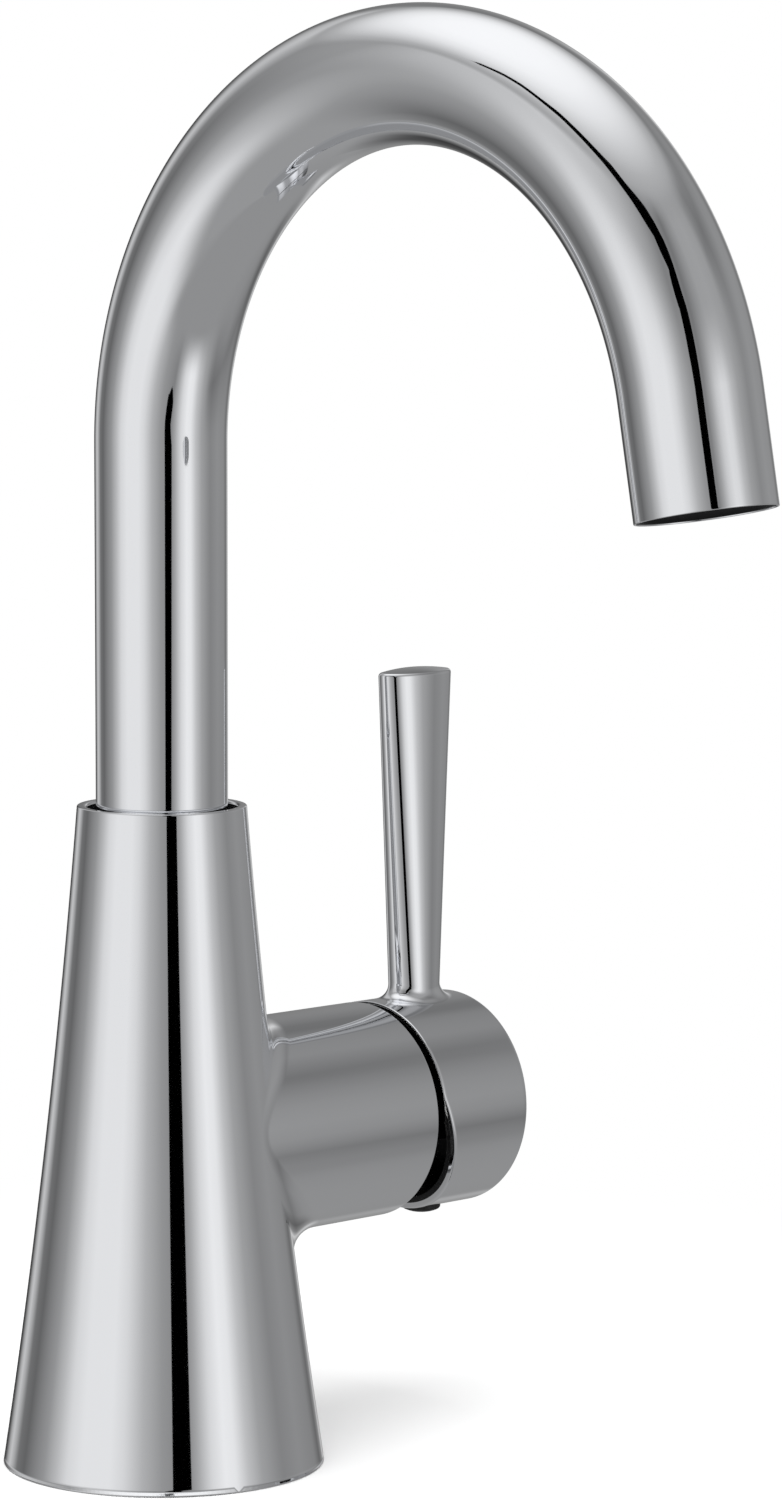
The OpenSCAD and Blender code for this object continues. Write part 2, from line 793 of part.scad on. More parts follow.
function ring_z0(i) = tower_top - socket_depth + ring_pitch * (i + 0.5);
module spout_shank() {
    color(brass_c) difference() {
        union() {
            translate([0, 0, tower_top - socket_depth + air_gap])
                cylinder(r = shank_r, h = socket_depth);
            translate([0, 0, tower_top + fit_gap]) cylinder(r = tube_r, h = shoulder_t);
            translate([0, 0, tower_top + fit_gap])
                cylinder(r = tube_bore_r - run_gap, h = shoulder_t + shank_plug);
        }
        translate([0, 0, tower_top - socket_depth - over])
            cylinder(r = shank_bore_r, h = socket_depth + shank_plug + 4 * over);
        for (i = [0, 1]) ring_z(ring_z0(i) - ring_r - fit_gap, ring_z0(i) + ring_r + fit_gap,
            shank_r + over, shank_r - 2 * ring_r);
        ring_z(clip_z - run_gap, clip_z + clip_t + run_gap, shank_r + over,
            shank_r - clip_in);
    }
}

// Sealing rings of the shank, just short of the socket's wall
module shank_rings() {
    color(rubber_c) for (i = [0, 1]) translate([0, 0, ring_z0(i)]) rotate_extrude()
        translate([shank_r - ring_r, 0]) circle(r = ring_r);
}

// Split ring that keeps the spout from lifting out
module retaining_ring() {
    color(steel_c) difference() {
        ring_z(clip_z, clip_z + clip_t, shank_r + clip_out, shank_r - clip_in + fit_gap);
        translate([0, -clip_t, clip_z - over]) cube([tube_r, 2 * clip_t, clip_t + 2 * over]);
    }
}

module outlet_sleeve() {
    color(brass_c) at_outlet_ring(outlet_recess, outlet_recess + sleeve_len, sleeve_r,
        sleeve_bore_r);
}

module aerator_housing() {
    color(black_c) difference() {
        at_outlet_ring(housing_z, housing_z + housing_len, housing_r,
            housing_r - housing_wall);
        at_outlet() for (i = [0:key_slots - 1]) rotate([0, 0, (i + 0.5) * 360 / key_slots])
            translate([housing_r - housing_wall - over, -key_slot_w / 2, housing_z - over])
                cube([housing_wall + 2 * over, key_slot_w, over + key_slot_w / 2]);
    }
}

// Outlet screen: rings of round holes about a middle one, each ring six holes more
module aerator_screen() {
    color(plastic_c) at_outlet() translate([0, 0, housing_z + key_slot_w / 2]) difference() {
        cylinder(r = screen_r, h = screen_t);
        translate([0, 0, -over])
            cylinder(r = screen_pitch * screen_hole_share, h = screen_t + 2 * over);
        for (ring = [1:screen_rings], i = [0:6 * ring - 1])
            rotate([0, 0, i * 60 / ring]) translate([ring * screen_pitch, 0, -over])
                cylinder(r = screen_pitch * screen_hole_share, h = screen_t + 2 * over);
    }
}

module flow_regulator() {
    color(stop_c) at_outlet()
        translate([0, 0, housing_z + housing_len - regulator_in - regulator_t]) difference() {
            cylinder(r = screen_r, h = regulator_t);
            for (i = [0:jets - 1]) rotate([0, 0, i * 360 / jets])
                translate([screen_r * jet_ring_share, 0, -over])
                    cylinder(r = screen_r * jet_hole_share, h = regulator_t + 2 * over);
        }
}

module aerator_gasket() {
    color(rubber_c) at_outlet_ring(housing_z + housing_len,
        housing_z + housing_len + outlet_gasket_t, housing_r, screen_r * outlet_gasket_bore_share);
}

body_shell();
manifold();
manifold_screws();
base_plate();
base_gasket();
mounting_stud();
rubber_washer();
mounting_bracket();
mounting_nut();
inlet_filters();
swivel_bush();
cartridge_body();
cartridge_base();
cartridge_seals();
fixed_disc();
retaining_nut();
temperature_stop();
dust_skirt();
cartridge_rotor();
pivot_pin();
moving_disc();
disc_carrier();
cartridge_stem();
handle();
handle_insert();
set_screw();
plug_button();
spout_tube();
spout_shank();
shank_rings();
retaining_ring();
outlet_sleeve();
aerator_housing();
aerator_gasket();
aerator_screen();
flow_regulator();
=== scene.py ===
# %% [markdown]
# # A single-lever sink faucet in polished chrome
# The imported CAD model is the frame: every piece below rides on one of its bodies. This lesson
# dresses that frame. It makes the chrome surfaces smooth enough to reflect cleanly, gives each
# hidden part its own finish, and sets up a plain studio for the chrome to reflect.

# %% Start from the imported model
import json
import bpy
import numpy as np
from mathutils import Matrix, Vector


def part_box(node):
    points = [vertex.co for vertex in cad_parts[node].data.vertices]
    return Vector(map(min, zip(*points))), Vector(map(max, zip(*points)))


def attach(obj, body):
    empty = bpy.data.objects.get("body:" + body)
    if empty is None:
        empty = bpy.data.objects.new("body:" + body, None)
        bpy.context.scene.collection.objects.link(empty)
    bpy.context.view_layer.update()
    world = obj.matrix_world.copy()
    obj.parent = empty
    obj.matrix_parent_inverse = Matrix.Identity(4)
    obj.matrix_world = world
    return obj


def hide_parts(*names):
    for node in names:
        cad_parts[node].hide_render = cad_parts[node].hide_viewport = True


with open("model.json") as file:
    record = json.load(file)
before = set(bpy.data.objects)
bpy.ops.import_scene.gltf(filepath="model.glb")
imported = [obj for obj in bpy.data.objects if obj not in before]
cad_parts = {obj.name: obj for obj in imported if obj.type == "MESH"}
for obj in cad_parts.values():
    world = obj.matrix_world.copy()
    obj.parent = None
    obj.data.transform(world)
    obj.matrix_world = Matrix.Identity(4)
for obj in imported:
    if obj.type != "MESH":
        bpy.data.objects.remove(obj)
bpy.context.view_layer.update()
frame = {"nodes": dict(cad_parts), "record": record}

record = frame["record"]

# %% [markdown]
# ## Grids become meshes
# Chrome shows every flaw of a surface, so each piece is a grid of points worked out from a
# formula, with the exact normal at every point. A patch is one such grid. The patches of a
# piece share their edges, and welding the equal points closes it. The same could be done with
# subdivision and bevels, but the exact normals keep a thin black reflection straight.

# %% Patches
MM = 0.001  # the pieces are worked out in millimetres, and Blender's unit is the metre


def unit(v):
    """Each vector divided by its length."""
    return v / np.maximum(np.linalg.norm(v, axis=-1, keepdims=True), 1e-12)


def numeric_normals(P, closed):
    """Cross product of the grid's two tangents, taken as central differences."""
    along = np.gradient(P, axis=0)
    if closed:
        around = np.roll(P, -1, axis=1) - np.roll(P, 1, axis=1)
    else:
        around = np.gradient(P, axis=1)
    return unit(np.cross(along, around))


def patch(P, N=None, hint=None, closed=False):
    """A grid of points P with normals N as (points, normals, quads). Without N the normals
    come from the grid, turned to agree with hint. Quads run (i, j), (i+1, j), (i+1, j+1),
    (i, j+1), and all are reversed if they face against the normals."""
    if N is None:
        N = numeric_normals(P, closed)
        if (N * hint).sum(-1).mean() < 0:
            N = -N
    N = np.broadcast_to(N, P.shape)
    rows, cols = P.shape[:2]
    i = np.arange(rows - 1)[:, None]
    j = np.arange(cols if closed else cols - 1)[None]
    k = (j + 1) % cols
    quads = np.stack(np.broadcast_arrays(
        i * cols + j, (i + 1) * cols + j, (i + 1) * cols + k, i * cols + k), -1).reshape(-1, 4)
    flat, flat_n = P.reshape(-1, 3), N.reshape(-1, 3)
    a, b, c, d = (flat[quads[:, m]] for m in range(4))
    facing = (np.cross(c - a, d - b) * flat_n[quads].mean(axis=1)).sum(-1)
    if np.median(np.sign(facing[np.abs(facing) > 1e-12])) < 0:
        quads = quads[:, ::-1]
    return flat, flat_n, quads


strip = np.stack([*np.meshgrid([0.0, 1, 2], [0.0, 1], indexing="ij"), np.zeros((3, 2))], -1)
strip = patch(strip, hint=np.array([0, 0, 1.0]))
print("a strip has", len(strip[0]), "points and", len(strip[2]), "quads")

# %% The border of a grid
def border(u, v):
    """The border of the grid of u and v, once round: u rising at the last v, v falling, u
    falling at the first v, v rising."""
    along, aside = np.ones(len(u) - 1), np.ones(len(v) - 1)
    return (np.concatenate([u[:-1], u[-1] * aside, u[:0:-1], u[0] * aside]),
            np.concatenate([v[-1] * along, v[:0:-1], v[0] * along, v[:-1]]))


print("round a strip:", np.stack(border(np.arange(3), np.arange(2)), -1).astype(int).tolist())

# %% Welding patches into one closed mesh
WELD = 1e4  # steps to the millimetre in which two points count as one
OFF_STEP = 0.31  # shifts the rounding off the half steps, where round sizes fall


def weld(patches):
    """Joins points that agree. A quad with two joined corners becomes a triangle, and one
    with fewer than three corners goes. Returns points, normals, quads, triangles and the
    number of each face's patch."""
    sizes = np.cumsum([0] + [len(p[0]) for p in patches])
    V = np.concatenate([p[0] for p in patches])
    N = np.concatenate([p[1] for p in patches])
    F = np.concatenate([p[2] + s for p, s in zip(patches, sizes)])
    source = np.repeat(np.arange(len(patches)), [len(p[2]) for p in patches])
    _, first, back = np.unique(np.round(V * WELD + OFF_STEP).astype(np.int64), axis=0,
                               return_index=True, return_inverse=True)
    back = back.reshape(-1)
    total = np.zeros((len(first), 3))
    np.add.at(total, back, N)
    F = back[F]
    same = F == np.roll(F, -1, axis=1)
    whole, cornered = same.sum(axis=1) == 0, same.sum(axis=1) == 1
    keep = (same[cornered].argmax(axis=1)[:, None] + np.array([1, 2, 3])) % 4
    tris = np.take_along_axis(F[cornered], keep, axis=1)
    return V[first], unit(total), F[whole], tris, np.concatenate([source[whole], source[cornered]])


def open_edges(quads, tris):
    """How many edges don't belong to exactly two faces. A closed mesh has none."""
    edges = np.sort(np.concatenate([face[:, [i, (i + 1) % face.shape[1]]] for face in (quads, tris)
                                    for i in range(face.shape[1])]), axis=1)
    return int((np.unique(edges, axis=0, return_counts=True)[1] != 2).sum())


points, _, quads, tris, _ = weld([strip, (strip[0] + [2, 0, 0], *strip[1:])])
print("two strips welded:", len(points), "points,", open_edges(quads, tris), "open edges")

# %% A welded mesh on its body
def new_object(name, mesh):
    """An object for the mesh, in the scene."""
    obj = bpy.data.objects.new(name, mesh)
    bpy.context.scene.collection.objects.link(obj)
    return obj


def piece(name, patches, finish, body, stands_for=(), inner=()):
    """A welded mesh in metres with its own normals, riding on a CAD body. The patches of
    inner are its unpolished inside, coloured near black as painted shade."""
    V, N, quads, tris, source = weld([*patches, *inner])
    mesh = bpy.data.meshes.new(name)
    mesh.from_pydata((V * MM).tolist(), [], quads.tolist() + tris.tolist())
    mesh.polygons.foreach_set("use_smooth", np.ones(len(mesh.polygons), dtype=bool))
    for skin in (finish, CASTING_AND_PAINTED_SHADE) if inner else (finish,):
        mesh.materials.append(skin)
    mesh.polygons.foreach_set("material_index", (source >= len(patches)).astype(np.int32))
    mesh.normals_split_custom_set_from_vertices(N.tolist())
    mesh.update()
    obj = new_object(name, mesh)
    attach(obj, body)
    if stands_for:
        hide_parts(*stands_for)
    print(name, "points", len(V), "triangles", 2 * len(quads) + len(tris),
          "open edges", open_edges(quads, tris))
    return obj


# %% Profiles that are turned about an axis
def rounded(points, radius, steps=5):
    """A profile whose inner corners are cut back by radius and bridged by a curve: the
    quadratic (1-t)^2 A + 2t(1-t) B + t^2 C between the two cut points and the corner B."""
    points = np.asarray(points, float)
    radius = np.broadcast_to(radius, len(points))
    t = np.linspace(0, 1, steps)[:, None]
    out = [points[:1]]
    for a, b, c, r in zip(points[:-2], points[1:-1], points[2:], radius[1:-1]):
        if r <= 0:
            out.append(b[None])
            continue
        p, q = b + unit(a - b) * r, b + unit(c - b) * r
        out.append((1 - t) ** 2 * p + 2 * t * (1 - t) * b + t ** 2 * q)
    out.append(points[-1:])
    return np.concatenate(out)


def turned(profile, angles, centre=(0, 0, 0), axis=(0, 0, 1), start=(1, 0, 0), flip=False):
    """A profile of (radius, station) turned about an axis:
    point = centre + station * axis + radius * (start * cos a + side * sin a)."""
    axis, start = np.array(axis, float), np.array(start, float)
    side = np.cross(axis, start)
    radius, station = np.asarray(profile, float).T
    ray = start * np.cos(angles)[:, None] + side * np.sin(angles)[:, None]
    P = np.array(centre) + station[:, None, None] * axis + radius[:, None, None] * ray[None]
    dr, ds = np.gradient(radius), np.gradient(station)
    N = unit(ds[:, None, None] * ray[None] - dr[:, None, None] * axis)
    return patch(P, -N if flip else N, closed=True)


def closed_ring(points, radius, angles, **place):
    """A closed profile with rounded corners turned about an axis, such as a bush. The sign
    of the loop's area tells which way its normals face."""
    points = np.asarray(points, float)
    seam = (points[:1] + points[-1:]) / 2
    line = rounded(np.concatenate([seam, points, seam]), radius)
    area = (line[:-1, 0] * line[1:, 1] - line[1:, 0] * line[:-1, 1]).sum()
    return turned(line, angles, flip=area < 0, **place)


def turns(n):
    """n equal steps of a full turn, without the last."""
    return np.arange(n) * 2 * np.pi / n


print("rounding a square corner by 1 mm:", rounded([(0, 3), (3, 3), (3, 0)], 1).round(2).tolist())

# %% [markdown]
# ## Finishes
# One node group makes the small unevenness that every real finish has: it mixes a wide and a
# fine noise and puts out a tint, a roughness and a height. Each material places the group with
# its own numbers, so chrome gets only the faintest haze and cast brass a grainy skin. The
# shader's own sockets keep the values that are the same all over. Image textures would do it
# too, but noise on the object's own coordinates has no seams and needs no unwrapping.

# %% A short way to place shader nodes
class Graph:
    """Places and links the nodes of one tree."""

    def __init__(self, tree):
        self.nodes, self.link = tree.nodes, tree.links.new

    def feed(self, node, values):
        """Links sockets or sets values to a node's inputs, given by name or number."""
        for key, value in values.items():
            if isinstance(value, bpy.types.NodeSocket):
                self.link(value, node.inputs[key])
            else:
                node.inputs[key].default_value = value
        return node

    def add(self, kind, values=None, **settings):
        """A node of a kind, with its settings made before its inputs are fed."""
        node = self.nodes.new("ShaderNode" + kind)
        for name, setting in settings.items():
            setattr(node, name, setting)
        return self.feed(node, values or {})

    def math(self, operation, *given):
        """The result of a math node fed with sockets or numbers."""
        return self.add("Math", dict(enumerate(given)), operation=operation).outputs[0]

    def blend(self, factor, a, b, kind="MIX"):
        """A colour between a and b, or another kind of mix."""
        return self.add("Mix", {"Factor": factor, "A": a, "B": b}, data_type="RGBA",
                        blend_type=kind).outputs["Result"]

    def fade(self, value, low, high):
        """Smooth step of a value from 0 at low to 1 at high."""
        return self.add("MapRange", {"Value": value, "From Min": low, "From Max": high},
                        interpolation_type="SMOOTHSTEP").outputs[0]

    def ramp(self, where, stops):
        """A grey ramp over where from (position, light) pairs."""
        node = self.add("ValToRGB", {0: where})
        line = node.color_ramp.elements
        while len(line) < len(stops):
            line.new(0.5)
        for element, (at, light) in zip(line, stops):
            element.position = at
            element.color = (*[float(light)] * 3, 1)
        return node.outputs["Color"]


def material(name, blank=False):
    """A new material and its graph, which holds the standard shader unless it is blank."""
    mat = bpy.data.materials.new(name)
    mat.use_nodes = True
    if blank:
        mat.node_tree.nodes.clear()
    return mat, Graph(mat.node_tree)


# %% A shared group for uneven finishes
def uneven_group():
    """Tint = 1 - depth * wide noise, roughness = base + spread * fine noise, height = fine
    noise, all on Object coordinates in metres."""
    tree = bpy.data.node_groups.new("uneven_finish", "ShaderNodeTree")
    for way, kind, names in (("INPUT", "Color", ["Colour"]),
                             ("INPUT", "Float", ["Depth", "Wide scale", "Fine scale",
                                                 "Base roughness", "Spread"]),
                             ("OUTPUT", "Color", ["Colour"]),
                             ("OUTPUT", "Float", ["Roughness", "Height"])):
        for name in names:
            tree.interface.new_socket(name=name, in_out=way, socket_type="NodeSocket" + kind)
    graph = Graph(tree)
    given = graph.nodes.new("NodeGroupInput").outputs
    where = graph.add("TexCoord").outputs["Object"]
    wide, fine = (graph.add("TexNoise", {"Vector": where, "Scale": given[scale], "Detail": 3}
                            ).outputs["Fac"] for scale in ("Wide scale", "Fine scale"))
    tint = graph.blend(graph.math("MULTIPLY", wide, given["Depth"]), given["Colour"], (0, 0, 0, 1))
    rough = graph.math("MULTIPLY_ADD", fine, given["Spread"], given["Base roughness"])
    graph.feed(graph.nodes.new("NodeGroupOutput"),
               {"Colour": tint, "Roughness": rough, "Height": fine})
    return tree


UNEVEN = uneven_group()
print("group", UNEVEN.name, "has", len(UNEVEN.nodes), "nodes")

# %% One material for each slot of the record
RELIEF = 0.0002  # depth in metres of the fine relief at full strength


def finish(name, colour, metal=0.0, depth=0.1, wide=60.0, fine=900.0, rough=0.4, spread=0.1,
           bump=0.0, coat=0.0, specular=0.5):
    """A material around the uneven group. bump is the strength of the fine relief."""
    mat, graph = material(name)
    uneven = graph.add("Group", {"Colour": (*colour, 1), "Depth": depth, "Wide scale": wide,
                                 "Fine scale": fine, "Base roughness": rough,
                                 "Spread": spread}, node_tree=UNEVEN).outputs
    skin = graph.feed(graph.nodes["Principled BSDF"], {
        "Metallic": metal, "Coat Weight": coat, "Specular IOR Level": specular,
        "Base Color": uneven["Colour"], "Roughness": uneven["Roughness"]})
    if bump:
        relief = graph.add("Bump", {"Strength": bump, "Distance": RELIEF,
                                    "Height": uneven["Height"]})
        graph.feed(skin, {"Normal": relief.outputs["Normal"]})
    return mat


FINISHES = {
    "polished_chrome": finish("polished_chrome", (0.908, 0.918, 0.941), metal=1, depth=0.02,
                              wide=35, fine=260, rough=0.02, spread=0.03),
    "raw_brass": finish("raw_brass", (0.78, 0.56, 0.24), metal=1, depth=0.35, wide=90, fine=1400,
                        rough=0.24, spread=0.25, bump=0.35),
    "zinc_steel": finish("zinc_steel", (0.66, 0.67, 0.68), metal=1, depth=0.3, wide=140,
                         fine=1100, rough=0.26, spread=0.25, bump=0.15),
    "white_plastic": finish("white_plastic", (0.80, 0.80, 0.77), depth=0.06, fine=1500,
                            rough=0.36, spread=0.12, bump=0.1),
    # Near black: painted shade, so plastic parts seen in the gap under the cap stay dark.
    "grey_plastic": finish("grey_plastic", (0.09, 0.09, 0.095), depth=0.15, fine=1500,
                           rough=0.38, spread=0.15, bump=0.12),
    "black_plastic": finish("black_plastic", (0.012, 0.012, 0.013), depth=0.3, fine=1300,
                            rough=0.34, spread=0.2, bump=0.12, specular=0.3),
    "red_plastic": finish("red_plastic", (0.55, 0.03, 0.025), depth=0.1, fine=1500, rough=0.36,
                          spread=0.12, bump=0.1),
    "ceramic": finish("ceramic", (0.83, 0.82, 0.76), depth=0.05, fine=2200, rough=0.12,
                      spread=0.08, coat=0.3),
    "black_rubber": finish("black_rubber", (0.018, 0.018, 0.019), depth=0.35, wide=120,
                           fine=1000, rough=0.62, spread=0.3, bump=0.4, specular=0.25),
}
CHROME = FINISHES["polished_chrome"]
# Unplated casting, near black as painted shade in the insides, the bore and the cap's gap.
CASTING_AND_PAINTED_SHADE = finish("casting_and_painted_shade", (0.05, 0.05, 0.052), metal=1, depth=0.3, wide=120,
                      fine=1000, rough=0.42, spread=0.2, bump=0.2)
# Plated brass sleeve in the outlet, near black as painted shade inside the opening.
PLATE_AND_PAINTED_SHADE = finish("plate_and_painted_shade", (0.10, 0.10, 0.103), metal=1, depth=0.2, wide=120, fine=1200,
                    rough=0.2, spread=0.15, bump=0.1)
print("finishes:", ", ".join(FINISHES))

# %% [markdown]
# ## The body: a drawn-in cone with a side boss
# The real body is one casting, ground and polished, so the boss flows out of the cone through a
# fillet. A ball of the fillet's radius, rolled along the corner, touches the boss in one curve
# and the cone in another, and the surface between is the ball's own. The cone outside that
# curve is a grid ruled from the curve to a rectangle on the cone, and the rest is a plain grid.
# The inside is the same surface a wall's thickness in, left as it was cast and coloured near
# black as painted shade. A Boolean and a bevel would also do it, with uneven facets just where
# the eye looks.

# %% Sizes of the body
FOOT_R, COLLAR_R, BODY_H, WAIST = 31.25, 16.35, 128.5, 1.15
BOSS_R, BOSS_X, AXIS_Z = 21.5, 54.1, BODY_H * 0.489
WALL, FOOT_WALL, FOOT_RISE, EDGE = 1.8, 3.4, 9, 0.35


# %% The cone's side and the rolling ball
def side_radius(z):
    """Straight taper drawn in by a parabola: u = 1 - z/H, r = collar + (foot - collar) u
    - 4 w u (1 - u)."""
    u = 1 - z / BODY_H
    return COLLAR_R + (FOOT_R - COLLAR_R) * u - 4 * WAIST * u * (1 - u)


def side_slope(z):
    """dr/dz of the side."""
    return -((FOOT_R - COLLAR_R) - 4 * WAIST * (1 - 2 * (1 - z / BODY_H))) / BODY_H


def on_cone(theta, z):
    """Point (r cos t, r sin t, z) of the side and its outward normal."""
    theta, z = np.broadcast_arrays(theta, z)
    r, k = side_radius(z), side_slope(z)
    N = unit(np.stack([np.cos(theta), np.sin(theta), -k], -1))
    return np.stack([r * np.cos(theta), r * np.sin(theta), z], -1), N


def boss_fillet(phi):
    """Rolls a ball of radius 8.2 - 0.8 sin(phi) along the corner, larger below. Its centre C
    lies at boss radius + ball radius from the boss's axis and a ball's radius off the cone,
    which a dozen fixed-point steps find. Returns C, the ball's radius, the normals at both
    contacts and the contact on the cone as (angle, height)."""
    ball = 8.2 - 0.8 * np.sin(phi)
    y, zc = (BOSS_R + ball) * np.cos(phi), AXIS_Z + (BOSS_R + ball) * np.sin(phi)
    z = zc.copy()
    for _ in range(12):
        k = side_slope(z)
        z = zc + ball * k / np.sqrt(1 + k * k)
    rc = side_radius(z) + ball / np.sqrt(1 + side_slope(z) ** 2)
    C = np.stack([np.sqrt(rc ** 2 - y ** 2), y, zc], -1)
    theta = np.arctan2(y, C[:, 0])
    on_boss = np.stack([0 * phi, np.cos(phi), np.sin(phi)], -1)
    return C, ball, on_boss, on_cone(theta, z)[1], theta, z


def between(a, b, t):
    """Great-circle blend of two unit vectors: sin((1-t)w) a + sin(t w) b over sin w."""
    w = np.arccos(np.clip((a * b).sum(-1), -1, 1))[..., None]
    s = np.maximum(np.sin(w), 1e-9)
    return unit(np.sin((1 - t) * w) / s * a + np.sin(t * w) / s * b)


print("cone's radius at foot, boss and collar:",
      side_radius(np.array([0, AXIS_Z, BODY_H])).round(2), "mm")

# %% The body's outside
HALF = np.radians(105)  # the boss's rectangle on the cone reaches this far each way
NEAR_BOSS_R = 24.0  # the cone's radius near the boss
heights = np.linspace(0.3, BODY_H - EDGE, 121)
across = np.linspace(-HALF, HALF, 81)
edge_z, edge_theta = border(heights, across)
phi = np.arctan2(edge_z - AXIS_Z, edge_theta * NEAR_BOSS_R)
C, ball, n_boss, n_cone, hole_theta, hole_z = boss_fillet(phi)

rule = (np.linspace(0, 1, 44) ** 1.15)[:, None]  # closer together near the fillet
cone_front, n_front = on_cone(hole_theta + (edge_theta - hole_theta) * rule,
                              hole_z + (edge_z - hole_z) * rule)
back = np.linspace(HALF, 2 * np.pi - HALF, 91)
cone_back, n_back = on_cone(back[None], heights[:, None])
t = np.linspace(0, 1, 17)[:, None, None]
n_fillet = between(n_cone[None], n_boss[None], t)
fillet = C - ball[:, None] * n_fillet
reach = np.linspace(0, 1, 24)[:, None]
print("fillet from", ball.min().round(2), "to", ball.max().round(2), "mm")


# %% The boss and the inside
def boss_tube(radius, mouth, start):
    """Lines along X from the fillet's edge to the mouth, at a radius round the boss's axis."""
    x = start + (mouth - start) * reach
    P = np.stack(np.broadcast_arrays(x, radius * np.cos(phi), AXIS_Z + radius * np.sin(phi)), -1)
    return P, np.broadcast_to(n_boss, P.shape)


def wall_at(P):
    """Wall thickness, growing over the lowest 9 mm by the smooth step u u (3 - 2 u)."""
    u = np.clip(1 - P[..., 2:] / FOOT_RISE, 0, 1)
    return WALL + (FOOT_WALL - WALL) * u * u * (3 - 2 * u)


body_patches, body_inside = [], []
for P, N, closed in ((cone_front, n_front, True), (cone_back, n_back, False),
                     (fillet, n_fillet, True)):
    body_patches.append(patch(P, N, closed=closed))
    body_inside.append(patch(P - wall_at(P) * N, -N, closed=closed))
outer, n_outer = boss_tube(BOSS_R, BOSS_X - EDGE, C[:, 0])
inner, _ = boss_tube(BOSS_R - WALL, BOSS_X - WALL / 2, C[:, 0])
body_patches.append(patch(outer, n_outer, closed=True))
body_inside.append(patch(inner, -n_outer, closed=True))
print("boss from", C[:, 0].min().round(2), "to", BOSS_X, "mm, wall", WALL, "mm")

# %% The body's three rims
around = np.concatenate([across[:-1], back[:-1]])


def cone_rim(z, top, turn, inner_edge):
    """Profile from the outer edge of the side over the rim to the inner wall, turned about Z."""
    P, N = on_cone(np.array([0.0]), np.array([z]))
    Q = P - wall_at(P) * N
    a, b = (P[0, 0], z), (Q[0, 0], Q[0, 2])
    return turned(rounded([a, (a[0] - turn * 0.02, top), (b[0] + 0.02, top), b],
                          [0, 0.9 * EDGE, inner_edge, 0]), around, flip=turn < 0)


body_patches += [cone_rim(heights[-1], BODY_H, 1, 1.7 * EDGE),
                 cone_rim(heights[0], 0.0, -1, 0.9 * EDGE)]
mouth = rounded([(BOSS_R, BOSS_X - EDGE), (BOSS_R, BOSS_X), (BOSS_R - WALL / 2, BOSS_X),
                 (BOSS_R - WALL, BOSS_X - WALL / 2)], [0, 0.34, 0.25, 0])
body_patches.append(turned(mouth, phi, (0, 0, AXIS_Z), (1, 0, 0), (0, 1, 0)))
piece("body_with_boss", body_patches, CHROME, "body", ["body_shell"],
      body_inside)

# %% [markdown]
# ## The spout: one bent tube
# A mandrel bender draws the tube round a former, so the centre line is a straight leg, an arc
# and a short straight end. The surface is a circle carried along that line. Its normal is the
# circle's own ray, which is exact on the bend too. A curve with a bevel would give the same
# tube, but not its thin lip: the end is opened out inside, so only a hairline of plating shows.

# %% Sizes and the centre line of the spout
TUBE_R, BORE_R, LIP_R, TUBE_FOOT = 12.7, 11.45, 12.3, 115.5
LEG_TOP, BEND_R, BEND, END_LEN, RIM = 198.0, 68.7, np.radians(169.1), 20.95, 0.3


def spout_line(leg_rows, bend_rows):
    """Centres and tangents: up the leg, round the arc by R cos a and R sin a, down the end."""
    leg = np.linspace(TUBE_FOOT, LEG_TOP, leg_rows)
    a = np.linspace(0, BEND, bend_rows)[1:]
    arc = np.stack([0 * a, BEND_R * (np.cos(a) - 1), LEG_TOP + BEND_R * np.sin(a)], -1)
    arc_t = np.stack([0 * a, -np.sin(a), np.cos(a)], -1)
    run = np.linspace(0, END_LEN - RIM, 9)[1:, None]
    end = arc[-1] + arc_t[-1] * run
    centres = np.concatenate([np.stack([0 * leg, 0 * leg, leg], -1), arc, end])
    tangents = np.concatenate([np.tile([[0.0, 0, 1]], (len(leg), 1)), arc_t,
                               np.tile(arc_t[-1:], (len(end), 1))])
    return centres, tangents, arc[-1] + arc_t[-1] * END_LEN


def tube_wall(radius, angles):
    """Circles of one radius about the centre line: centre + r (X cos a + (T x X) sin a)."""
    centres, tangents, _ = spout_line(leg_rows=14, bend_rows=180)
    side = np.array([1.0, 0, 0])
    up = np.cross(tangents, side)
    N = side * np.cos(angles)[None, :, None] + up[:, None] * np.sin(angles)[None, :, None]
    return centres[:, None] + radius * N, N


spout_angles = turns(128)
tube_out, n_out = tube_wall(TUBE_R, spout_angles)
tube_in, n_in = tube_wall(BORE_R, spout_angles)
outlet = spout_line(2, 3)[2]
flow = np.array([0, -np.sin(BEND), np.cos(BEND)])
plated = rounded([(TUBE_R, -RIM), (TUBE_R, 0), (LIP_R, 0), (LIP_R, -0.25)], [0, 0.19, 0.19, 0])
# The bore and the inner lip are near-black casting: painted shade in the outlet's opening.
lip = [(LIP_R, -0.25), (LIP_R - 0.1, -RIM), (BORE_R, -RIM)]
foot = [(BORE_R, TUBE_FOOT), (TUBE_R, TUBE_FOOT)]
piece("gooseneck_tube", [
    patch(tube_out, n_out, closed=True),
    turned(plated, spout_angles, outlet, flow, (1, 0, 0)),
    turned(foot, spout_angles, flip=True)],
    CHROME, "spout", ["spout_tube"],
    [patch(tube_in, -n_in, closed=True), turned(lip, spout_angles, outlet, flow, (1, 0, 0))])
print("outlet at", outlet.round(2), "flows along", flow.round(4))

# %% [markdown]
# ## The handle: a cap with a lever
# The cap repeats the boss's diameter. Its lower rim is cut on a slant, so that it can swing in
# towards the boss when the lever is pulled out. The lever is an oval blade of even thickness
# that grows from the cap through a fillet, widens upwards and ends in a crowned face. It is
# made as the body is: a ball rolled round the lever's root gives the fillet, and the cap's side
# is ruled about it. A round lever would be simpler, but its reflections would run parallel.

